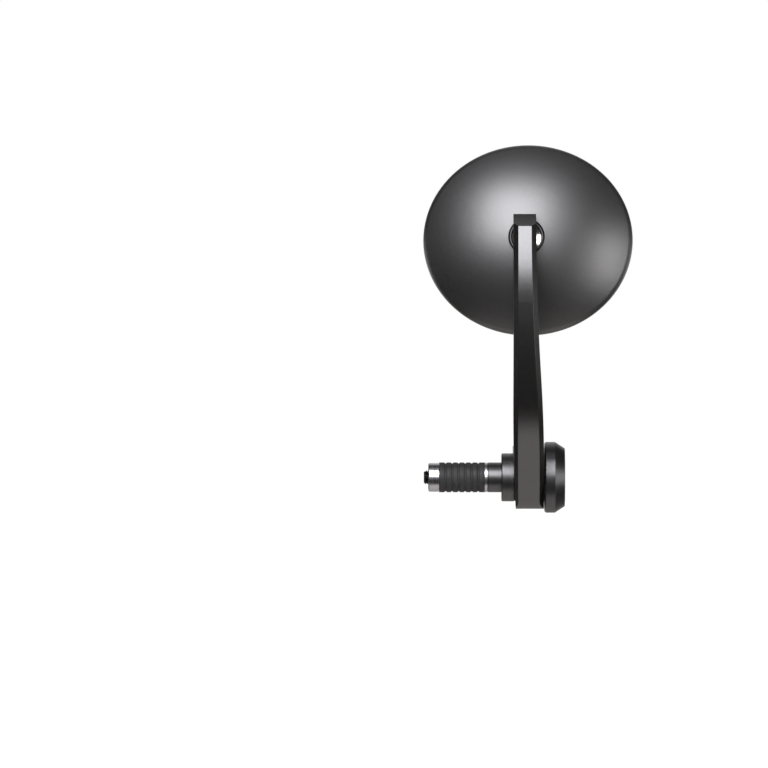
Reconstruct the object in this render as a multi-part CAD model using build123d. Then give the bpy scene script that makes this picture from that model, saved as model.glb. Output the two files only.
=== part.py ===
from build123d import *
import os
from math import asin, atan, cos, degrees, radians, sin, sqrt

# Motorcycle bar end mirror, in millimetres.
# +X runs outboard along the handlebar's axis, +Y towards the rider, +Z up.
# The origin is on the handlebar's axis, at the inboard face of the spindle's collar.

# Clearances shared by the fits
RUNNING_CLEARANCE = 0.05
THREAD_CLEARANCE = 0.05
BOLT_HOLE_CLEARANCE = 0.25
EDGE_BREAK = 0.5

# Spindle: the nose enters the handlebar tube, and the arm turns on the journal
COLLAR_DIAMETER = 27.4
COLLAR_LENGTH = 7.4
JOURNAL_DIAMETER = 20.0
NOSE_DIAMETER = 17.0
NOSE_LENGTH = 8.0

# Friction washers on both sides of the arm's eye
FRICTION_WASHER_THICKNESS = 0.8
FRICTION_WASHER_BORDER = 0.3

# Bar end cap
CAP_DIAMETER = 40.4
CAP_LENGTH = 11.6
CAP_CHAMFER_LENGTH = 5.6
CAP_CHAMFER_DEPTH = 3.65
CAP_INNER_EDGE = 0.8
CAP_PILOT_DEPTH = 0.8
CAP_PILOT_END_GAP = 0.3
CAP_FLOOR = 2.3

# Clamp bolt and the washers under its head
BOLT_DIAMETER = 8.0
BOLT_LENGTH = 75.0
BOLT_HEAD_DIAMETER = 13.0
BOLT_HEAD_HEIGHT = 5.0
BOLT_TIP_CHAMFER = 1.0
HEX_KEY_SIZE = 6.0
HEX_SOCKET_DEPTH = 3.5
PLAIN_WASHER_DIAMETER = 16.0
PLAIN_WASHER_THICKNESS = 1.6
LOCK_WASHER_DIAMETER = 14.8
LOCK_WASHER_THICKNESS = 1.6
LOCK_WASHER_SPLIT = 1.5
LOCK_WASHER_SPLIT_ANGLE = 25.0
COUNTERBORE_CLEARANCE = 0.3

# Expander in the handlebar tube
THRUST_WASHER_THICKNESS = 1.5
THRUST_WASHER_INSET = 0.1
SLEEVE_LENGTH = 26.0
SLEEVE_BORE_CLEARANCE = 1.0
SLEEVE_MOUTH_WALL = 1.1
SLEEVE_MOUTH_DEPTH = 10.0
CONE_TAPER_LENGTH = 9.0
CONE_SEAT_CLEARANCE = 0.15
CONE_FLANGE_LENGTH = 6.0
CONE_FLANGE_INSET = 0.3

# Arm, seen from the side: an eye, a straight run and three bends of its front face
EYE_WIDTH = 15.5
EYE_RADIUS = 18.0
ARM_THICKNESS = 10.5
RUN_ANGLE = 42.0
RUN_LENGTH = 47.6
LOWER_BEND_RADIUS = 66.5
LOWER_BEND_ANGLE = 28.0
MIDDLE_BEND_RADIUS = 228.0
MIDDLE_BEND_ANGLE = 14.0
UPPER_BEND_RADIUS = 108.0
UPPER_BEND_ANGLE = 23.0
END_CUT_LEAN = 6.3
EYE_BLEND_RADIUS = 14.0
ARM_CHAMFER = 2.65

# Arm, seen from the front: how far each side stands from the eye's faces, outboard positive
INNER_BOW_HEIGHT = 45.0
INNER_TOP_STEP = -2.1
CHAMFER_FOOT_STEP = -1.2
OUTER_FOOT_STEP = 0.5
OUTER_TURN_HEIGHT = 58.0
OUTER_TOP_STEP = -4.8
SPOT_FACE_MARGIN = 0.5

# Ball stud in the arm's back
BALL_DIAMETER = 17.0
STUD_NECK_DIAMETER = 7.5
STUD_FLANGE_DIAMETER = 10.0
STUD_FLANGE_THICKNESS = 2.0
STUD_COLLAR_DIAMETER = 15.8
STUD_COLLAR_EDGE = 0.6
STUD_COLLAR_RISE = 2.4
STUD_COLLAR_REACH = 10.3
STUD_THREAD_DIAMETER = 6.0
STUD_THREAD_LENGTH = 6.0
STUD_HOLE_END_GAP = 0.5
STUD_REACH = 16.1
STUD_DROP = 6.2
STUD_SIDE_OFFSET = 1.35
STUD_SEAT_MARGIN = 0.2

# Mirror head: an oval dome with a short straight rim
HEAD_WIDTH = 118.8
HEAD_HEIGHT = 108.2
HEAD_DEPTH = 25.5
DOME_RISE = 21.0
DOME_EDGE_RADIUS = 6.0
RIM_EDGE_RADIUS = 0.8
RIM_WIDTH = 4.1
RIM_INNER_CHAMFER = 1.2
BOWL_WALL = 2.6
GLASS_LEDGE_DEPTH = 20.5
GLASS_LEDGE_WIDTH = 3.5
HEAD_TILT_UP = 4.3
HEAD_TURN_IN = 2.8

# Ball socket in the head
BALL_DEPTH = 6.4
BALL_CLEARANCE = 0.1
SEAT_WALL = 1.4
SEAT_CLEARANCE = 0.3
FRONT_SEAT_LENGTH = 3.0
FRONT_SEAT_SETBACK = 0.3
REAR_SEAT_RIM = 3.6
SOCKET_WALL = 2.4
SOCKET_FLOOR = 3.9
RING_PROUD = 0.3
RING_THICKNESS = 2.5
RING_OPENING_DIAMETER = 15.8
RING_BEVEL = 0.9
SPRING_THICKNESS = 0.45
SPRING_EDGE_MARGIN = 0.4
SPRING_END_GAP = 0.03

# Glass and what holds it
GLASS_THICKNESS = 2.0
GLASS_RADIUS = 1200.0
GASKET_WALL = 0.9
GASKET_LIP_THICKNESS = 0.8
GASKET_LIP_WIDTH = 1.6
GLASS_FIT = 0.05
PAD_DIAMETER = 24.0

# Stations along the handlebar's axis
eye_in_x = COLLAR_LENGTH + FRICTION_WASHER_THICKNESS
eye_out_x = eye_in_x + EYE_WIDTH
cap_in_x = eye_out_x + FRICTION_WASHER_THICKNESS
cap_out_x = cap_in_x + CAP_LENGTH
counterbore_x = cap_in_x + CAP_PILOT_DEPTH + CAP_FLOOR
lock_washer_x = counterbore_x + PLAIN_WASHER_THICKNESS
bolt_seat_x = lock_washer_x + LOCK_WASHER_THICKNESS
thrust_x = -NOSE_LENGTH
sleeve_x = thrust_x - THRUST_WASHER_THICKNESS
sleeve_end_x = sleeve_x - SLEEVE_LENGTH
cone_end_x = sleeve_end_x - CONE_SEAT_CLEARANCE - CONE_FLANGE_LENGTH

# Radii shared by the clamp's pieces
bolt_radius = BOLT_DIAMETER / 2
bolt_hole_radius = bolt_radius + BOLT_HOLE_CLEARANCE
journal_radius = JOURNAL_DIAMETER / 2
collar_radius = COLLAR_DIAMETER / 2
friction_washer_radius = collar_radius - FRICTION_WASHER_BORDER
sleeve_radius = NOSE_DIAMETER / 2
sleeve_bore_radius = bolt_radius + SLEEVE_BORE_CLEARANCE
sleeve_mouth_radius = sleeve_radius - SLEEVE_MOUTH_WALL

# Radii and depths shared by the socket's pieces, with depth measured rearwards from the ball's centre
ball_radius = BALL_DIAMETER / 2
seat_inner_radius = ball_radius + BALL_CLEARANCE
seat_outer_radius = seat_inner_radius + SEAT_WALL
socket_radius = seat_outer_radius + SEAT_CLEARANCE
ring_radius = socket_radius - THREAD_CLEARANCE
ring_opening_radius = RING_OPENING_DIAMETER / 2
apex_depth = -BALL_DEPTH
ring_front_depth = apex_depth - RING_PROUD
ring_rear_depth = ring_front_depth + RING_THICKNESS
front_seat_rear_depth = -FRONT_SEAT_SETBACK
front_seat_front_depth = front_seat_rear_depth - FRONT_SEAT_LENGTH
socket_end_depth = socket_radius + SOCKET_FLOOR
rim_depth = apex_depth + HEAD_DEPTH
ledge_depth = apex_depth + GLASS_LEDGE_DEPTH

# Half sizes of the oval outlines in the head
head_half_width = HEAD_WIDTH / 2
head_half_height = HEAD_HEIGHT / 2
recess_half_width = head_half_width - RIM_WIDTH
recess_half_height = head_half_height - RIM_WIDTH
glass_half_width = recess_half_width - GASKET_WALL - GLASS_FIT
glass_half_height = recess_half_height - GASKET_WALL - GLASS_FIT
glass_edge_sag = GLASS_RADIUS - sqrt(GLASS_RADIUS**2 - glass_half_width**2)
glass_rear_depth = ledge_depth + GASKET_LIP_THICKNESS + GLASS_FIT + glass_edge_sag


def turned(points):
    """A piece turned about the handlebar's axis from (x, radius) corners."""
    return revolve(make_face(Polyline(*points, close=True)), Axis.X)


def washer(start_x, thickness, outer_radius, inner_radius):
    end_x = start_x + thickness
    return turned(
        [
            (start_x, inner_radius),
            (end_x, inner_radius),
            (end_x, outer_radius),
            (start_x, outer_radius),
        ]
    )


def friction_washer(start_x):
    bore_radius = journal_radius + RUNNING_CLEARANCE
    return washer(start_x, FRICTION_WASHER_THICKNESS, friction_washer_radius, bore_radius)


def spindle():
    journal_end_x = cap_in_x + CAP_PILOT_DEPTH - CAP_PILOT_END_GAP
    return turned(
        [
            (-NOSE_LENGTH, bolt_hole_radius),
            (-NOSE_LENGTH, sleeve_radius - EDGE_BREAK),
            (-NOSE_LENGTH + EDGE_BREAK, sleeve_radius),
            (0, sleeve_radius),
            (0, collar_radius - EDGE_BREAK),
            (EDGE_BREAK, collar_radius),
            (COLLAR_LENGTH - EDGE_BREAK, collar_radius),
            (COLLAR_LENGTH, collar_radius - EDGE_BREAK),
            (COLLAR_LENGTH, journal_radius),
            (journal_end_x - EDGE_BREAK, journal_radius),
            (journal_end_x, journal_radius - EDGE_BREAK),
            (journal_end_x, bolt_hole_radius),
        ]
    )


def bar_end_cap():
    cap_radius = CAP_DIAMETER / 2
    pilot_radius = journal_radius + RUNNING_CLEARANCE
    counterbore_radius = PLAIN_WASHER_DIAMETER / 2 + COUNTERBORE_CLEARANCE
    return turned(
        [
            (cap_in_x, pilot_radius),
            (cap_in_x, cap_radius - CAP_INNER_EDGE),
            (cap_in_x + CAP_INNER_EDGE, cap_radius),
            (cap_out_x - CAP_CHAMFER_LENGTH, cap_radius),
            (cap_out_x, cap_radius - CAP_CHAMFER_DEPTH),
            (cap_out_x, counterbore_radius + EDGE_BREAK),
            (cap_out_x - EDGE_BREAK, counterbore_radius),
            (counterbore_x, counterbore_radius),
            (counterbore_x, bolt_hole_radius),
            (cap_in_x + CAP_PILOT_DEPTH, bolt_hole_radius),
            (cap_in_x + CAP_PILOT_DEPTH, pilot_radius),
        ]
    )


def clamp_bolt():
    head_radius = BOLT_HEAD_DIAMETER / 2
    head_end_x = bolt_seat_x + BOLT_HEAD_HEIGHT
    tip_x = bolt_seat_x - BOLT_LENGTH
    blank = turned(
        [
            (tip_x, 0),
            (tip_x, bolt_radius - BOLT_TIP_CHAMFER),
            (tip_x + BOLT_TIP_CHAMFER, bolt_radius),
            (bolt_seat_x, bolt_radius),
            (bolt_seat_x, head_radius),
            (head_end_x - EDGE_BREAK, head_radius),
            (head_end_x, head_radius - EDGE_BREAK),
            (head_end_x, 0),
        ]
    )
    socket_plane = Plane.YZ.offset(head_end_x)
    hexagon = RegularPolygon(HEX_KEY_SIZE / 2, 6, major_radius=False)
    socket = extrude(socket_plane * hexagon, -HEX_SOCKET_DEPTH)
    return blank - socket


def lock_washer():
    ring = washer(lock_washer_x, LOCK_WASHER_THICKNESS, LOCK_WASHER_DIAMETER / 2, bolt_hole_radius)
    middle_x = lock_washer_x + LOCK_WASHER_THICKNESS / 2
    split_place = Location((middle_x, 0, LOCK_WASHER_DIAMETER / 2), (0, 0, LOCK_WASHER_SPLIT_ANGLE))
    split = split_place * Box(LOCK_WASHER_DIAMETER, LOCK_WASHER_SPLIT, LOCK_WASHER_DIAMETER)
    return ring - split


def expander_sleeve():
    mouth_start_x = sleeve_end_x + SLEEVE_MOUTH_DEPTH
    return turned(
        [
            (sleeve_x, sleeve_bore_radius),
            (sleeve_x, sleeve_radius),
            (sleeve_end_x, sleeve_radius),
            (sleeve_end_x, sleeve_mouth_radius),
            (mouth_start_x, sleeve_bore_radius),
        ]
    )


def expander_cone():
    thread_radius = bolt_radius + THREAD_CLEARANCE
    flange_radius = sleeve_radius - CONE_FLANGE_INSET
    flange_x = cone_end_x + CONE_FLANGE_LENGTH
    mouth_slope = (sleeve_mouth_radius - sleeve_bore_radius) / SLEEVE_MOUTH_DEPTH
    taper_radius = sleeve_mouth_radius - CONE_SEAT_CLEARANCE
    tip_x = sleeve_end_x + CONE_TAPER_LENGTH
    return turned(
        [
            (cone_end_x, thread_radius),
            (cone_end_x, flange_radius - EDGE_BREAK),
            (cone_end_x + EDGE_BREAK, flange_radius),
            (flange_x, flange_radius),
            (flange_x, taper_radius),
            (sleeve_end_x, taper_radius),
            (tip_x, taper_radius - mouth_slope * CONE_TAPER_LENGTH),
            (tip_x, thread_radius),
        ]
    )


def arm_bends(inset, top_lean):
    """One face of the arm in the (Y, Z) plane, set in from the front face, from the eye to the top."""
    foot_normal = radians(RUN_ANGLE - 90)
    foot_reach = EYE_RADIUS - inset
    foot = Vector(-foot_reach * cos(foot_normal), foot_reach * sin(foot_normal))
    heading = Vector(-cos(radians(RUN_ANGLE)), sin(radians(RUN_ANGLE)))
    run = Line(foot, foot + heading * RUN_LENGTH)
    lower = JernArc(run @ 1, heading, LOWER_BEND_RADIUS - inset, -LOWER_BEND_ANGLE)
    middle = JernArc(lower @ 1, lower % 1, MIDDLE_BEND_RADIUS - inset, -MIDDLE_BEND_ANGLE)
    upper = JernArc(middle @ 1, middle % 1, UPPER_BEND_RADIUS - inset, -UPPER_BEND_ANGLE - top_lean)
    return [run, lower, middle, upper]


def upper_bend_center():
    """Centre of the upper bend in the (Y, Z) plane."""
    upper_start = arm_bends(0, 0)[2]
    toward_rider = (upper_start % 1).rotate(Axis.Z, -90)
    return (upper_start @ 1) + toward_rider * UPPER_BEND_RADIUS


front_top_edge = arm_bends(0, 0)[3] @ 1
bend_center = upper_bend_center()
back_bend_radius = UPPER_BEND_RADIUS - ARM_THICKNESS

# The stud's seat is cut flat, deep enough to be whole at the seat's lower edge
stud_seat_radius = STUD_FLANGE_DIAMETER / 2 + STUD_SEAT_MARGIN
stud_z = front_top_edge.Y - STUD_DROP
seat_rise = stud_z - stud_seat_radius - bend_center.Y
stud_seat_y = bend_center.X - sqrt(back_bend_radius**2 - seat_rise**2)
arm_top_middle_x = (eye_in_x + INNER_TOP_STEP + eye_out_x + OUTER_TOP_STEP) / 2
ball_center = Vector(arm_top_middle_x + STUD_SIDE_OFFSET, stud_seat_y + STUD_REACH, stud_z)

# The head's own frame: origin at the ball's centre, +Y along the head's axis towards the glass
head_frame = Location(ball_center) * Rot(Z=-HEAD_TURN_IN) * Rot(X=-HEAD_TILT_UP)


def arm_side_profile():
    front = arm_bends(0, 0)
    back = arm_bends(ARM_THICKNESS, END_CUT_LEAN)
    end_cut = Line(front[-1] @ 1, back[-1] @ 1)
    foot_line = Line(back[0] @ 0, front[0] @ 0)
    profile = make_face([*front, end_cut, *back, foot_line]) + Circle(EYE_RADIUS)
    back_run = back[0]
    leaves_eye_after = sqrt(EYE_RADIUS**2 - (back_run @ 0).length ** 2)
    eye_corner = (back_run @ 0) + (back_run % 0) * leaves_eye_after
    return fillet(profile.vertices().sort_by_distance(eye_corner)[0], EYE_BLEND_RADIUS)


def arm_inner_side(foot_step):
    """The arm's inner side seen from the front: straight, then bowed to a step from the eye's face."""
    top = Vector(eye_in_x + INNER_TOP_STEP, front_top_edge.Y + EYE_RADIUS)
    bow_top = Vector(top.X, INNER_BOW_HEIGHT)
    rise = INNER_BOW_HEIGHT + EYE_RADIUS
    reach = foot_step - INNER_TOP_STEP
    radius = (rise**2 + reach**2) / (2 * reach)
    run_on = degrees(asin((rise + 2 * EYE_RADIUS) / radius))
    return [Line(top, bow_top), JernArc(bow_top, (0, -1), radius, run_on)]


def arm_front_outline(inner_side):
    """The arm seen from the front. The outer side bows out at the foot and in at the top."""
    rise = front_top_edge.Y + EYE_RADIUS
    lean = 2 * atan((OUTER_FOOT_STEP - OUTER_TOP_STEP) / rise)
    lower_radius = (OUTER_TURN_HEIGHT + EYE_RADIUS) / sin(lean)
    upper_radius = (front_top_edge.Y - OUTER_TURN_HEIGHT) / sin(lean)
    run_on = asin(EYE_RADIUS / upper_radius)
    foot_x = eye_out_x + OUTER_FOOT_STEP
    below = Line((foot_x, -3 * EYE_RADIUS), (foot_x, -EYE_RADIUS))
    lower = JernArc(below @ 1, (0, 1), lower_radius, degrees(lean))
    upper = JernArc(lower @ 1, lower % 1, upper_radius, -degrees(lean + run_on))
    top = Line(upper @ 1, inner_side[0] @ 0)
    bottom = Line(inner_side[-1] @ 1, below @ 0)
    return make_face([*inner_side, bottom, below, lower, upper, top])


def arm_envelope_profile():
    """All that lies behind the arm's front face, whose straight run goes on below the eye."""
    run, lower, middle, upper = arm_bends(0, END_CUT_LEAN)
    start = (run @ 0) - (run % 0) * (2 * EYE_RADIUS)
    end = upper @ 1
    behind = 2 * EYE_RADIUS
    closing = Polyline(end, (behind, end.Y), (behind, start.Y), start)
    return make_face([Line(start, run @ 1), lower, middle, upper, *closing.edges()])


def arm_block(side_profile, front_outline):
    """What a profile seen from the side and an outline seen from the front have in common."""
    depth = 2 * (EYE_RADIUS + RUN_LENGTH + LOWER_BEND_RADIUS)
    from_side = extrude(Plane.YZ * side_profile, 2 * eye_out_x)
    return from_side & extrude(Plane.XZ * front_outline, depth, both=True)


def faces_sideways(face):
    normal = face.normal_at(face.center())
    return abs(normal.X) > max(abs(normal.Y), abs(normal.Z))


def arm_blank():
    """The arm with its front edges chamfered, before anything is bored."""
    envelope = arm_block(arm_envelope_profile(), arm_front_outline(arm_inner_side(CHAMFER_FOOT_STEP)))
    faces = envelope.faces()
    side_edges = faces.filter_by(faces_sideways).edges()
    closing_edges = faces.filter_by(Axis.Z).edges() + faces.filter_by(Axis.Y).edges()
    side_seams = envelope.edges().filter_by(GeomType.LINE).filter_by(Axis.Y)
    envelope = chamfer(side_edges - closing_edges - side_seams, ARM_CHAMFER)
    return arm_block(arm_side_profile(), arm_front_outline(arm_inner_side(0))) & envelope


def arm():
    spot_radius = collar_radius + SPOT_FACE_MARGIN
    thread_radius = STUD_THREAD_DIAMETER / 2 + THREAD_CLEARANCE
    hole_depth = STUD_THREAD_LENGTH + STUD_HOLE_END_GAP
    stud_seat = Plane(origin=(ball_center.X, stud_seat_y, ball_center.Z), z_dir=(0, 1, 0))
    body = arm_blank()
    body -= washer(0, eye_in_x, spot_radius, 0)
    body -= washer(eye_out_x, EYE_WIDTH, spot_radius, 0)
    body -= washer(0, 2 * eye_out_x, journal_radius + RUNNING_CLEARANCE, 0)
    body -= extrude(stud_seat * Circle(stud_seat_radius), ARM_THICKNESS)
    body -= extrude(stud_seat * Circle(thread_radius), -hole_depth)
    return body


def spun(points):
    """A piece turned about the head's axis from (radius, depth) corners."""
    return revolve(make_face(Polyline(*points, close=True)), Axis.Y)


def ball_stud():
    neck_radius = STUD_NECK_DIAMETER / 2
    flange_radius = STUD_FLANGE_DIAMETER / 2
    thread_radius = STUD_THREAD_DIAMETER / 2
    flange_rear = -STUD_REACH + STUD_FLANGE_THICKNESS
    tip = -STUD_REACH - STUD_THREAD_LENGTH
    shank = spun(
        [
            (0, tip),
            (thread_radius - EDGE_BREAK, tip),
            (thread_radius, tip + EDGE_BREAK),
            (thread_radius, -STUD_REACH),
            (flange_radius, -STUD_REACH),
            (flange_radius, flange_rear),
            (neck_radius, flange_rear),
            (neck_radius, 0),
            (0, 0),
        ]
    )
    collar_radius = STUD_COLLAR_DIAMETER / 2
    collar_edge = -STUD_COLLAR_REACH - STUD_COLLAR_EDGE
    collar_top = collar_edge - STUD_COLLAR_RISE
    collar, _ = oval_dome(collar_radius, collar_radius, collar_top, STUD_COLLAR_RISE, -STUD_COLLAR_REACH)
    return Pos(ball_center) * (shank + Sphere(ball_radius) + revolve(collar, Axis.Y))


def oval_dome(half_width, half_height, top_depth, rise, base_depth):
    """Half section of a dome and its straight skirt, with the factor that makes it oval when turned."""
    dome_radius = (half_width**2 + rise**2) / (2 * rise)
    dome = JernArc((0, top_depth), (1, 0), dome_radius, degrees(asin(half_width / dome_radius)))
    skirt = Polyline(dome @ 1, (half_width, base_depth), (0, base_depth), (0, top_depth))
    return make_face([dome, *skirt.edges()]), (1, 1, half_height / half_width)


def oval_slab(half_width, half_height, near_depth, far_depth):
    near_face = Plane.XZ.offset(-near_depth) * Ellipse(half_width, half_height)
    return extrude(near_face, near_depth - far_depth)


def bowl_outside():
    section, oval = oval_dome(head_half_width, head_half_height, apex_depth, DOME_RISE, rim_depth)
    dome_corner = (head_half_width, apex_depth + DOME_RISE)
    section = fillet(section.vertices().sort_by_distance(dome_corner)[0], DOME_EDGE_RADIUS)
    rim_corner = (head_half_width, rim_depth)
    section = fillet(section.vertices().sort_by_distance(rim_corner)[0], RIM_EDGE_RADIUS)
    return scale(revolve(section, Axis.Y), by=oval)


def bowl_inside():
    """The hollow under the dome, down to the glass's ledge and a little into the recess."""
    half_width = recess_half_width - GLASS_LEDGE_WIDTH
    half_height = recess_half_height - GLASS_LEDGE_WIDTH
    rise = GLASS_LEDGE_DEPTH - BOWL_WALL
    section, oval = oval_dome(half_width, half_height, apex_depth + BOWL_WALL, rise, rim_depth)
    return scale(revolve(section, Axis.Y), by=oval)


def ball_socket():
    """The round hollow for the ball and its seats, open towards the arm."""
    mouth = apex_depth - BALL_DEPTH
    bore = spun([(0, mouth), (socket_radius, mouth), (socket_radius, 0), (0, 0)])
    return bore + Sphere(socket_radius)


def bowl():
    outside = bowl_outside()
    recess = oval_slab(recess_half_width, recess_half_height, ledge_depth, rim_depth)
    boss_radius = socket_radius + SOCKET_WALL
    boss = spun(
        [
            (0, apex_depth),
            (boss_radius, apex_depth),
            (boss_radius, socket_end_depth),
            (0, socket_end_depth),
        ]
    )
    shell = outside - bowl_inside() - recess
    recess_mouth = shell.faces().sort_by(Axis.Y)[-1].inner_wires()[0].edges()
    shell = chamfer(recess_mouth, RIM_INNER_CHAMFER)
    return head_frame * (shell + (boss & outside) - ball_socket())


def socket_ring():
    ring = spun(
        [
            (ring_opening_radius, ring_rear_depth),
            (ring_radius, ring_rear_depth),
            (ring_radius, ring_front_depth + RING_BEVEL),
            (ring_radius - RING_BEVEL, ring_front_depth),
            (ring_opening_radius + RING_BEVEL, ring_front_depth),
            (ring_opening_radius, ring_front_depth + RING_BEVEL),
        ]
    )
    return head_frame * ring


def seat_spring():
    inner_radius = ring_opening_radius + SPRING_EDGE_MARGIN
    outer_radius = socket_radius - SPRING_EDGE_MARGIN
    front = ring_rear_depth + SPRING_END_GAP
    rear = front_seat_front_depth - SPRING_END_GAP
    spring = spun(
        [
            (outer_radius, front),
            (outer_radius, front + SPRING_THICKNESS),
            (inner_radius, rear),
            (inner_radius, rear - SPRING_THICKNESS),
        ]
    )
    return head_frame * spring


def front_seat():
    block = spun(
        [
            (0, front_seat_front_depth),
            (seat_outer_radius, front_seat_front_depth),
            (seat_outer_radius, front_seat_rear_depth),
            (0, front_seat_rear_depth),
        ]
    )
    return head_frame * (block - Sphere(seat_inner_radius))


def rear_seat():
    cup = Sphere(seat_outer_radius) - Sphere(seat_inner_radius)
    size = 2 * seat_outer_radius
    kept = Pos(0, REAR_SEAT_RIM + seat_outer_radius, 0) * Box(size, size, size)
    return head_frame * (cup & kept)


def glass_ball(radius):
    """The sphere that a face of the glass belongs to."""
    return Pos(0, glass_rear_depth - GLASS_RADIUS, 0) * Sphere(radius)


def lens(gap):
    """The glass, or the hollow that holds it with a gap all round."""
    half_width = glass_half_width + gap
    half_height = glass_half_height + gap
    slab = oval_slab(half_width, half_height, ledge_depth, rim_depth)
    return (slab & glass_ball(GLASS_RADIUS + GLASS_THICKNESS + gap)) - glass_ball(GLASS_RADIUS - gap)


def mirror_glass():
    return head_frame * lens(0)


def glass_gasket():
    short_sag = GLASS_RADIUS - sqrt(GLASS_RADIUS**2 - glass_half_height**2)
    lip_depth = glass_rear_depth - short_sag + GLASS_THICKNESS + GLASS_FIT + GASKET_LIP_THICKNESS
    outer_half_width = recess_half_width - GLASS_FIT
    outer_half_height = recess_half_height - GLASS_FIT
    opening_half_width = glass_half_width - GASKET_LIP_WIDTH
    opening_half_height = glass_half_height - GASKET_LIP_WIDTH
    channel = oval_slab(outer_half_width, outer_half_height, ledge_depth, lip_depth)
    opening = oval_slab(opening_half_width, opening_half_height, ledge_depth, lip_depth)
    return head_frame * (channel - opening - lens(GLASS_FIT))


def glass_pad():
    radius = PAD_DIAMETER / 2
    disc = spun([(0, socket_end_depth), (radius, socket_end_depth), (radius, rim_depth), (0, rim_depth)])
    return head_frame * (disc & glass_ball(GLASS_RADIUS - GLASS_FIT))


def build():
    thrust_radius = sleeve_radius - THRUST_WASHER_INSET
    plain_radius = PLAIN_WASHER_DIAMETER / 2
    return {
        "spindle": spindle(),
        "inner_friction_washer": friction_washer(COLLAR_LENGTH),
        "outer_friction_washer": friction_washer(eye_out_x),
        "bar_end_cap": bar_end_cap(),
        "plain_washer": washer(counterbore_x, PLAIN_WASHER_THICKNESS, plain_radius, bolt_hole_radius),
        "lock_washer": lock_washer(),
        "clamp_bolt": clamp_bolt(),
        "thrust_washer": washer(sleeve_x, THRUST_WASHER_THICKNESS, thrust_radius, bolt_hole_radius),
        "expander_sleeve": expander_sleeve(),
        "expander_cone": expander_cone(),
        "arm": arm(),
        "ball_stud": ball_stud(),
        "socket_ring": socket_ring(),
        "seat_spring": seat_spring(),
        "front_seat": front_seat(),
        "rear_seat": rear_seat(),
        "bowl": bowl(),
        "glass_pad": glass_pad(),
        "mirror_glass": mirror_glass(),
        "glass_gasket": glass_gasket(),
    }


os.makedirs("parts", exist_ok=True)
for node, piece in build().items():
    export_step(piece, f"parts/{node}.step")
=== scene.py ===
import bpy
import bmesh
from math import cos, pi, radians, sin
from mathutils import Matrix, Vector


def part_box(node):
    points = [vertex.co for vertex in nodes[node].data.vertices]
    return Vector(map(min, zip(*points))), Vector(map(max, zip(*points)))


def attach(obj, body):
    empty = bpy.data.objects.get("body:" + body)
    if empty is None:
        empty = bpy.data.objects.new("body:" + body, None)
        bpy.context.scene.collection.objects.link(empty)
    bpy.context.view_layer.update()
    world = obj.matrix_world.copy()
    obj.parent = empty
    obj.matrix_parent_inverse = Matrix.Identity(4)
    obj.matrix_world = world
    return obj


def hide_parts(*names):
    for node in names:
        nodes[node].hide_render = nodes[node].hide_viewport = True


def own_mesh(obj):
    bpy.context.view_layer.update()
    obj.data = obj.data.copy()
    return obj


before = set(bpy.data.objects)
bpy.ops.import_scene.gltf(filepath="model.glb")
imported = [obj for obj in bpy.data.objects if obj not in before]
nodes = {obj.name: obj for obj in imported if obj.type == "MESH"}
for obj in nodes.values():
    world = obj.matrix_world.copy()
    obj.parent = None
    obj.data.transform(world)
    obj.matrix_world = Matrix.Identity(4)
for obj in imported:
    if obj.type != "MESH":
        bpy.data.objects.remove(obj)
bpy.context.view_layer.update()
scene = bpy.context.scene
scene.view_settings.view_transform = "Standard"

# Finishes. Lengths are in metres. A noise's grain is about 1 / scale metres, and most of its values lie in
# NOISE_SPAN.
NOISE_SPAN = (0.3, 0.7)
EDGE_RADIUS = 0.0002
FINE_EDGE_RADIUS = 0.00015
MOTTLE_SCALE = 850
GRAIN_SCALE = 5200
GRAIN_DEPTH = 0.000004
LATHE_SCALE = 4200
LATHE_DEPTH = 0.000006
WARM_DARK = (0.35, 0.3, 0.25)
WARM_LIGHT = (1.9, 1.7, 1.5)
COOL_DARK = (0.85, 0.85, 0.85)
COOL_LIGHT = (1.2, 1.2, 1.25)


def scaled(color, factor):
    return tuple(factor * part for part in color)


def gray(tone):
    return (tone, tone, tone)


class Graph:
    """Nodes of a material or of the world, built up step by step."""

    def __init__(self, tree):
        self.tree = tree

    def add(self, kind, **settings):
        node = self.tree.nodes.new(kind)
        for key, value in settings.items():
            setattr(node, key, value)
        return node

    def feed(self, socket, value):
        """Links a node's output to a socket, or sets a plain value on it."""
        if isinstance(value, bpy.types.NodeSocket):
            self.tree.links.new(value, socket)
        else:
            socket.default_value = value

    def math(self, operation, first, second=0.0):
        node = self.add("ShaderNodeMath", operation=operation)
        self.feed(node.inputs[0], first)
        self.feed(node.inputs[1], second)
        return node.outputs["Value"]

    def ramp(self, value, start, end, low, high, course="LINEAR"):
        """A value that goes from low to high while another one goes from start to end."""
        node = self.add("ShaderNodeMapRange", interpolation_type=course)
        self.feed(node.inputs["Value"], value)
        self.feed(node.inputs["From Min"], start)
        self.feed(node.inputs["From Max"], end)
        self.feed(node.inputs["To Min"], low)
        self.feed(node.inputs["To Max"], high)
        return node.outputs["Result"]

    def mix(self, factor, first, second, kind="FLOAT"):
        node = self.add("ShaderNodeMix", data_type=kind)
        self.feed(node.inputs["Factor"], factor)
        self.feed(node.inputs["A"], first)
        self.feed(node.inputs["B"], second)
        return node.outputs["Result"]

    def split(self, vector):
        node = self.add("ShaderNodeSeparateXYZ")
        self.feed(node.inputs["Vector"], vector)
        return node.outputs

    def join(self, **parts):
        node = self.add("ShaderNodeCombineXYZ")
        for axis, value in parts.items():
            self.feed(node.inputs[axis], value)
        return node.outputs["Vector"]

    def measure(self, operation, *vectors):
        """A number from one or two vectors, such as a length or a dot product."""
        node = self.add("ShaderNodeVectorMath", operation=operation)
        for socket, vector in zip(node.inputs, vectors):
            self.feed(socket, vector)
        return node.outputs["Value"]


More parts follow.
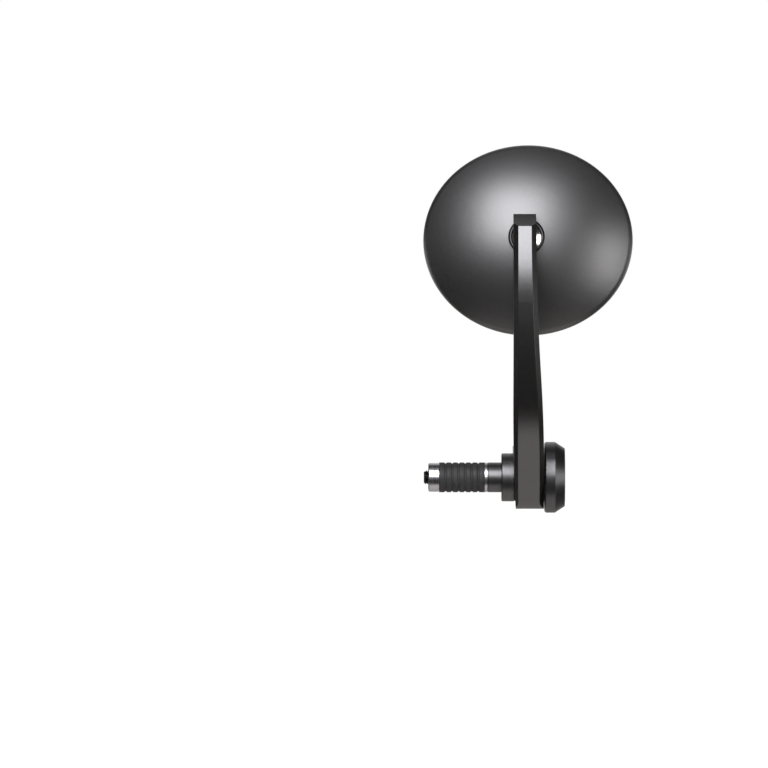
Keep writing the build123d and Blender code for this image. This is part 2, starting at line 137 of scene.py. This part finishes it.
class Paint(Graph):
    """A node material round one Principled BSDF, with patterns in object space."""

    def __init__(self, name, base, roughness, metallic=0.0, ior=1.5, specular=0.5):
        self.material = bpy.data.materials.new(name)
        self.material.use_nodes = True
        super().__init__(self.material.node_tree)
        self.shader = self.tree.nodes["Principled BSDF"].inputs
        self.shader["Base Color"].default_value = (*base, 1)
        self.shader["Roughness"].default_value = roughness
        self.shader["Metallic"].default_value = metallic
        self.shader["IOR"].default_value = ior
        self.shader["Specular IOR Level"].default_value = specular
        self.place = self.add("ShaderNodeTexCoord").outputs["Object"]

    def noise(self, scale, detail=2.0, roughness=0.5, place=None):
        node = self.add("ShaderNodeTexNoise")
        node.inputs["Scale"].default_value = scale
        node.inputs["Detail"].default_value = detail
        node.inputs["Roughness"].default_value = roughness
        self.feed(node.inputs["Vector"], place or self.place)
        return node.outputs["Fac"]

    def turned_lines(self, scale):
        """Fine rings round the X axis, from noise that varies only along X and with the radius."""
        spot = self.split(self.place)
        radius = self.measure("LENGTH", self.join(Y=spot["Y"], Z=spot["Z"]))
        return self.noise(scale, detail=1.0, place=self.join(X=spot["X"], Y=radius))

    def spread(self, noise, low, high):
        """Maps the middle of a noise to a range."""
        return self.ramp(noise, *NOISE_SPAN, low, high)

    def shade(self, noise, dark, light):
        """Maps the middle of a noise to the colours between two tones."""
        node = self.add("ShaderNodeValToRGB")
        for stop, position, tone in zip(node.color_ramp.elements, NOISE_SPAN, (dark, light)):
            stop.position = position
            stop.color = (*tone, 1)
        self.feed(node.inputs["Fac"], noise)
        return node.outputs["Color"]

    def color(self, output):
        self.feed(self.shader["Base Color"], output)

    def roughness(self, output):
        self.feed(self.shader["Roughness"], output)

    def bump(self, heights, edge_radius=0.0):
        """Stacks bumps, each a height and its depth, on edges that are rounded off by edge_radius."""
        normal = None
        if edge_radius:
            bevel = self.add("ShaderNodeBevel", samples=4)
            bevel.inputs["Radius"].default_value = edge_radius
            normal = bevel.outputs["Normal"]
        for height, depth in heights:
            node = self.add("ShaderNodeBump")
            node.inputs["Strength"].default_value = 1.0
            node.inputs["Distance"].default_value = depth
            self.feed(node.inputs["Height"], height)
            if normal:
                self.feed(node.inputs["Normal"], normal)
            normal = node.outputs["Normal"]
        self.feed(self.shader["Normal"], normal)


def satin_black(name, roughness, mottle_depth, tone, ior):
    """Black anodised aluminium after bead blasting."""
    paint = Paint(name, gray(tone), roughness, ior=ior, specular=1.0)
    mottle = paint.noise(MOTTLE_SCALE)
    grain = paint.noise(GRAIN_SCALE)
    paint.color(paint.shade(mottle, scaled(WARM_DARK, tone), scaled(WARM_LIGHT, tone)))
    paint.roughness(paint.spread(grain, roughness - 0.05, roughness + 0.05))
    paint.bump([(mottle, mottle_depth), (grain, GRAIN_DEPTH)], EDGE_RADIUS)
    return paint.material


def turned_black(name, roughness, tone, ior):
    """Black anodised aluminium with the marks of the lathe."""
    paint = Paint(name, gray(tone), roughness, ior=ior, specular=1.0)
    rings = paint.turned_lines(LATHE_SCALE)
    grain = paint.noise(GRAIN_SCALE)
    paint.color(paint.shade(rings, scaled(COOL_DARK, tone), scaled(COOL_LIGHT, tone)))
    paint.roughness(paint.spread(rings, roughness - 0.06, roughness + 0.06))
    paint.bump([(rings, LATHE_DEPTH), (grain, GRAIN_DEPTH)], EDGE_RADIUS)
    return paint.material


def metal(name, base, roughness, ring_depth):
    """Bare or plated steel with fine turning marks."""
    paint = Paint(name, base, roughness, metallic=1.0)
    rings = paint.turned_lines(3500)
    cloud = paint.noise(300, detail=3)
    paint.color(paint.shade(cloud, scaled(base, 0.95), base))
    paint.roughness(paint.spread(rings, roughness * 0.85, roughness * 1.2))
    paint.bump([(rings, ring_depth)], FINE_EDGE_RADIUS)
    return paint.material


def plastic(name, base, roughness):
    """Moulded nylon with a fine matt texture."""
    paint = Paint(name, base, roughness)
    cloud = paint.noise(260, detail=3)
    grain = paint.noise(3000, detail=3)
    paint.color(paint.shade(cloud, scaled(base, 0.9), base))
    paint.roughness(paint.spread(grain, roughness - 0.08, roughness + 0.08))
    paint.bump([(grain, 0.00001)], FINE_EDGE_RADIUS)
    return paint.material


def rubber(name, tone, roughness):
    """Moulded rubber with a faint bloom."""
    paint = Paint(name, gray(tone), roughness)
    bloom = paint.noise(180, detail=5, roughness=0.65)
    grain = paint.noise(2600, detail=4)
    paint.color(paint.shade(bloom, gray(tone * 0.8), gray(tone * 1.5)))
    paint.roughness(paint.spread(bloom, roughness - 0.08, roughness + 0.1))
    paint.bump([(grain, 0.00002)], EDGE_RADIUS)
    return paint.material


def foam(name, tone):
    """Fine closed cells."""
    paint = Paint(name, gray(tone), 0.95)
    voronoi = paint.add("ShaderNodeTexVoronoi")
    voronoi.inputs["Scale"].default_value = 2200
    paint.feed(voronoi.inputs["Vector"], paint.place)
    cells = voronoi.outputs["Distance"]
    paint.color(paint.shade(cells, gray(tone * 0.5), gray(tone * 1.3)))
    paint.bump([(cells, 0.0001)])
    return paint.material


def mirror(name):
    """Silvered glass with faint smears. It is perfectly sharp, by which the studio knows its reflections."""
    paint = Paint(name, (0.86, 0.88, 0.89), 0.0, metallic=1.0)
    smear = paint.noise(45, detail=6, roughness=0.7)
    paint.color(paint.shade(smear, (0.82, 0.84, 0.85), (0.9, 0.92, 0.93)))
    return paint.material


looks = {
    "arm": satin_black("arm_black", 0.31, 0.000015, 0.004, 1.71),
    "bowl": satin_black("bowl_black", 0.44, 0.00004, 0.0065, 1.82),
    "bar_end_cap": turned_black("cap_black", 0.36, 0.008, 1.61),
    "spindle": turned_black("spindle_black", 0.38, 0.008, 1.66),
    "socket_ring": satin_black("ring_black", 0.3, 0.00001, 0.004, 1.4),
    "ball_stud": metal("polished_steel", (0.79, 0.765, 0.72), 0.2, 0.000001),
    "clamp_bolt": metal("black_oxide", (0.05, 0.05, 0.054), 0.38, 0.000004),
    "plain_washer": metal("black_oxide_washer", (0.06, 0.06, 0.064), 0.42, 0.000004),
    "lock_washer": metal("black_oxide_spring", (0.05, 0.05, 0.054), 0.36, 0.000004),
    "thrust_washer": metal("zinc_washer", (0.62, 0.62, 0.64), 0.3, 0.000004),
    "expander_cone": metal("zinc_cone", (0.6, 0.6, 0.62), 0.28, 0.000006),
    "seat_spring": metal("spring_steel", (0.5, 0.5, 0.52), 0.25, 0.000003),
    "front_seat": plastic("front_seat_nylon", (0.8, 0.78, 0.72), 0.45),
    "rear_seat": plastic("rear_seat_nylon", (0.8, 0.78, 0.72), 0.45),
    "inner_friction_washer": plastic("inner_washer_nylon", (0.03, 0.03, 0.03), 0.5),
    "outer_friction_washer": plastic("outer_washer_nylon", (0.03, 0.03, 0.03), 0.5),
    "glass_gasket": rubber("gasket_rubber", 0.02, 0.6),
    "glass_pad": foam("pad_foam", 0.12),
    "mirror_glass": mirror("silvered_glass"),
    "expander_sleeve": rubber("sleeve_rubber", 0.022, 0.62),
}
for name, look in looks.items():
    nodes[name].data.materials.clear()
    nodes[name].data.materials.append(look)

# The rubber sleeve and the bolt get meshes of their own, round the X axis, in the boxes of their solids.
SEGMENTS = 48
SHARP_ANGLE = radians(28)
BEVEL_ANGLE = radians(25)

sleeve_low, sleeve_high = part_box("expander_sleeve")
SLEEVE_NEAR_X = sleeve_high[0]
SLEEVE_FAR_X = sleeve_low[0]
SLEEVE_RADIUS = sleeve_high[1]
SLEEVE_BORE = 0.0052
SLEEVE_MOUTH = 0.0076
SLEEVE_MOUTH_DEPTH = 0.01
SLEEVE_EDGE = 0.00015
SLEEVE_GROOVES = 6
GROOVE_HALF_WIDTH = 0.0007
GROOVE_DEPTH = 0.0005

bolt_low, bolt_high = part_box("clamp_bolt")
BOLT_TIP_X = bolt_low[0]
HEAD_END_X = bolt_high[0]
HEAD_RADIUS = bolt_high[1]
HEAD_HEIGHT = 0.005
HEAD_EDGE = 0.0005
BOLT_RADIUS = 0.004
TIP_RADIUS = 0.003
HEX_HALF_WIDTH = 0.003
HEX_DEPTH = 0.0035
HEX_LEAD = 0.0002
THREAD_PITCH = 0.00125
THREAD_DEPTH = 0.00065
THREAD_LENGTH = 0.028
THREAD_FADE = 0.002
RINGS_PER_TURN = 10
FLANK_SLOPE = 1.3
CREST_SHARE = 0.15


def around(x, radius_at):
    """A ring of points round the X axis, whose radius may depend on the angle."""
    angles = [2 * pi * i / SEGMENTS for i in range(SEGMENTS)]
    return [(x, radius_at(a) * cos(a), radius_at(a) * sin(a)) for a in angles]


def round_ring(x, radius):
    return around(x, lambda angle: radius)


def hex_ring(x, half_width):
    """A hexagonal ring, with a half width measured to its flats."""
    sixth = pi / 3
    return around(x, lambda angle: half_width / cos(angle % sixth - sixth / 2))


def thread_ring(x):
    """One section through the thread, which fades out at its inner end and starts on the tip's chamfer."""
    along = x - BOLT_TIP_X
    depth = THREAD_DEPTH * min(1, max(0, (THREAD_LENGTH - along) / THREAD_FADE))
    crest_limit = TIP_RADIUS + along

    def radius_at(angle):
        phase = (along / THREAD_PITCH + angle / (2 * pi)) % 1
        groove = min(1, max(0, FLANK_SLOPE * abs(2 * phase - 1) - CREST_SHARE))
        return min(BOLT_RADIUS - depth * groove, crest_limit)

    return around(x, radius_at)


def ring_piece(name, rings, closed, edge=0.0):
    """A mesh through a row of rings, which is closed on itself or ends in flat caps."""
    solid = bmesh.new()
    loops = [[solid.verts.new(point) for point in ring] for ring in rings]
    pairs = list(zip(loops, loops[1:]))
    if closed:
        pairs.append((loops[-1], loops[0]))
    for near, far in pairs:
        for i in range(SEGMENTS):
            j = (i + 1) % SEGMENTS
            solid.faces.new((near[i], near[j], far[j], far[i]))
    if not closed:
        solid.faces.new(loops[0])
        solid.faces.new(loops[-1])
    bmesh.ops.recalc_face_normals(solid, faces=solid.faces)
    if edge:
        corners = [e for e in solid.edges if e.calc_face_angle() > BEVEL_ANGLE]
        bmesh.ops.bevel(solid, geom=corners, offset=edge, segments=2, profile=0.5, affect="EDGES")
    mesh = bpy.data.meshes.new(name)
    solid.to_mesh(mesh)
    solid.free()
    mesh.polygons.foreach_set("use_smooth", [True] * len(mesh.polygons))
    mesh.set_sharp_from_angle(angle=SHARP_ANGLE)
    piece = bpy.data.objects.new(name, mesh)
    scene.collection.objects.link(piece)
    return piece


def sleeve_rings():
    """The sleeve's outside with its moulded grooves, then the flared mouth and the bore."""
    outline = [(SLEEVE_NEAR_X, SLEEVE_BORE), (SLEEVE_NEAR_X, SLEEVE_RADIUS)]
    step = (SLEEVE_FAR_X - SLEEVE_NEAR_X) / (SLEEVE_GROOVES + 1)
    for i in range(1, SLEEVE_GROOVES + 1):
        middle = SLEEVE_NEAR_X + i * step
        outline.append((middle + GROOVE_HALF_WIDTH, SLEEVE_RADIUS))
        outline.append((middle + GROOVE_HALF_WIDTH / 2, SLEEVE_RADIUS - GROOVE_DEPTH))
        outline.append((middle - GROOVE_HALF_WIDTH / 2, SLEEVE_RADIUS - GROOVE_DEPTH))
        outline.append((middle - GROOVE_HALF_WIDTH, SLEEVE_RADIUS))
    outline.append((SLEEVE_FAR_X, SLEEVE_RADIUS))
    outline.append((SLEEVE_FAR_X, SLEEVE_MOUTH))
    outline.append((SLEEVE_FAR_X + SLEEVE_MOUTH_DEPTH, SLEEVE_BORE))
    return [round_ring(x, radius) for x, radius in outline]


def bolt_rings():
    """The bolt from its threaded tip to the floor of the hexagon socket in its head."""
    steps = round(THREAD_LENGTH / THREAD_PITCH * RINGS_PER_TURN)
    rings = [thread_ring(BOLT_TIP_X + THREAD_LENGTH * i / steps) for i in range(steps + 1)]
    rings.append(round_ring(HEAD_END_X - HEAD_HEIGHT, BOLT_RADIUS))
    rings.append(round_ring(HEAD_END_X - HEAD_HEIGHT, HEAD_RADIUS))
    rings.append(round_ring(HEAD_END_X - HEAD_EDGE, HEAD_RADIUS))
    rings.append(round_ring(HEAD_END_X, HEAD_RADIUS - HEAD_EDGE))
    rings.append(hex_ring(HEAD_END_X, HEX_HALF_WIDTH + HEX_LEAD))
    rings.append(hex_ring(HEAD_END_X - HEX_LEAD, HEX_HALF_WIDTH))
    rings.append(hex_ring(HEAD_END_X - HEX_DEPTH, HEX_HALF_WIDTH))
    return rings


sleeve = ring_piece("rubber_sleeve", sleeve_rings(), True, edge=SLEEVE_EDGE)
sleeve.data.materials.append(looks["expander_sleeve"])
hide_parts("expander_sleeve")
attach(sleeve, "clamp")
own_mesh(sleeve)

bolt = ring_piece("threaded_bolt", bolt_rings(), False)
bolt.data.materials.append(looks["clamp_bolt"])
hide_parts("clamp_bolt")
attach(bolt, "bolt")

# Two soft boxes light the head. Azimuths are right of the camera and elevations above it, in degrees.
LIGHT_TARGET = Vector((0.014, -0.06, 0.1))


def area_light(name, azimuth, elevation, distance, width, height, radiance, color):
    side, rise = radians(azimuth), radians(elevation)
    toward = Vector((sin(side) * cos(rise), -cos(side) * cos(rise), sin(rise)))
    data = bpy.data.lights.new(name, "AREA")
    data.shape = "RECTANGLE"
    data.size = width
    data.size_y = height
    data.energy = radiance * pi * width * height
    data.color = color
    light = bpy.data.objects.new(name, data)
    light.location = LIGHT_TARGET + distance * toward
    light.rotation_mode = "QUATERNION"
    light.rotation_quaternion = toward.to_track_quat("Z", "Y")
    light.visible_camera = False
    scene.collection.objects.link(light)


area_light("key_box", azimuth=-14, elevation=29.8, distance=1.8, width=1.35, height=1.5, radiance=7.2,
           color=(0.957, 0.957, 1.0))
area_light("side_box", azimuth=58, elevation=-5.5, distance=0.7, width=0.28, height=0.46, radiance=4.15,
           color=(1.0, 0.985, 0.985))

# World: white to the camera and a pale sky to the mirror. The satin finishes see a dim studio, which is pale
# straight behind the object and in a panel above that.
PANEL_DIRECTION = (0.0, 0.71, 0.704)

world = bpy.data.worlds.new("studio")
scene.world = world
world.use_nodes = True
studio = Graph(world.node_tree)
rays = studio.add("ShaderNodeLightPath").outputs
aim = studio.add("ShaderNodeTexCoord").outputs["Generated"]
heading = studio.split(aim)
back = studio.ramp(heading["Y"], 0.72, 0.99, 0.025, 0.9)
panel = studio.ramp(studio.measure("DOT_PRODUCT", aim, PANEL_DIRECTION), 0.9, 1.0, 0.0, 0.55)
sky = studio.ramp(heading["Z"], 0.0, 0.9, 0.95, 0.5)
clear_rays = studio.math("MAXIMUM", rays["Is Singular Ray"], rays["Is Transmission Ray"])
reflected = studio.mix(clear_rays, studio.math("ADD", back, panel), sky)
background = studio.tree.nodes["Background"].inputs
background["Color"].default_value = (1, 1, 1, 1)
studio.feed(background["Strength"], studio.mix(rays["Is Camera Ray"], reflected, 1.0))

# Floor: pale, below the camera's view, and white far away. The satin finishes see it dim in front and at
# both sides.
FLOOR_Z = -0.35
FLOOR_HALF_SIZE = 30
PAPER_DARK = (0.83, 0.78, 0.74)
PAPER_LIGHT = (0.85, 0.8, 0.76)
PAPER_DIM = (0.012, 0.012, 0.012, 1)
NEAR_GLOW = 0.03
NEAR_CAMERA_GLOW = 0.3

mesh = bpy.data.meshes.new("floor")
plane = bmesh.new()
bmesh.ops.create_grid(plane, x_segments=1, y_segments=1, size=FLOOR_HALF_SIZE)
plane.to_mesh(mesh)
plane.free()
floor = bpy.data.objects.new("floor", mesh)
floor.location = (0, 0, FLOOR_Z)
scene.collection.objects.link(floor)

paper = Paint("floor_paper", PAPER_LIGHT, 0.9, specular=0.0)
rays = paper.add("ShaderNodeLightPath").outputs
spot = paper.split(paper.place)
aside = paper.ramp(paper.math("ABSOLUTE", spot["X"]), 0.2, 0.36, 0.0, 1.0, "SMOOTHSTEP")
before_back = paper.ramp(spot["Y"], 0.4, 0.8, 1.0, 0.0, "SMOOTHSTEP")
in_front = paper.ramp(spot["Y"], -0.3, -0.11, 1.0, 0.0, "SMOOTHSTEP")
field = paper.math("MAXIMUM", paper.math("MULTIPLY", aside, before_back), in_front)
not_sharp = paper.math("SUBTRACT", 1.0, rays["Is Singular Ray"])
blurred_rays = paper.math("MULTIPLY", rays["Is Glossy Ray"], not_sharp)
dimmed = paper.math("MULTIPLY", field, blurred_rays)
fibers = paper.shade(paper.noise(1400, detail=4), PAPER_DARK, PAPER_LIGHT)
paper.color(paper.mix(dimmed, fibers, PAPER_DIM, "RGBA"))

near_glow = paper.math("MAXIMUM", paper.math("MULTIPLY", rays["Is Camera Ray"], NEAR_CAMERA_GLOW), NEAR_GLOW)
glow = paper.ramp(paper.measure("LENGTH", paper.place), 0.5, 2.0, near_glow, 1.0)
mirrored_rays = paper.math("MAXIMUM", rays["Is Glossy Ray"], rays["Is Transmission Ray"])
shown = paper.math("MAXIMUM", rays["Is Camera Ray"], mirrored_rays)
lit = paper.math("MULTIPLY", shown, paper.math("SUBTRACT", 1.0, dimmed))
paper.shader["Emission Color"].default_value = (1, 1, 1, 1)
paper.feed(paper.shader["Emission Strength"], paper.math("MULTIPLY", glow, lit))
floor.data.materials.append(paper.material)

# Camera: level and square to the handlebar. The picture is FRAME_WIDTH across at the handlebar's axis.
CAMERA_DISTANCE = 6.0
FRAME_WIDTH = 0.43776
FRAME_CENTER_X = -0.0669
FRAME_CENTER_Z = 0.0532

camera_data = bpy.data.cameras.new("camera")
camera_data.sensor_width = 36
camera_data.lens = camera_data.sensor_width * CAMERA_DISTANCE / FRAME_WIDTH
camera_data.clip_end = 60
camera = bpy.data.objects.new("camera", camera_data)
camera.location = (FRAME_CENTER_X, -CAMERA_DISTANCE, FRAME_CENTER_Z)
camera.rotation_euler = (radians(90), 0, 0)
scene.collection.objects.link(camera)
scene.camera = camera
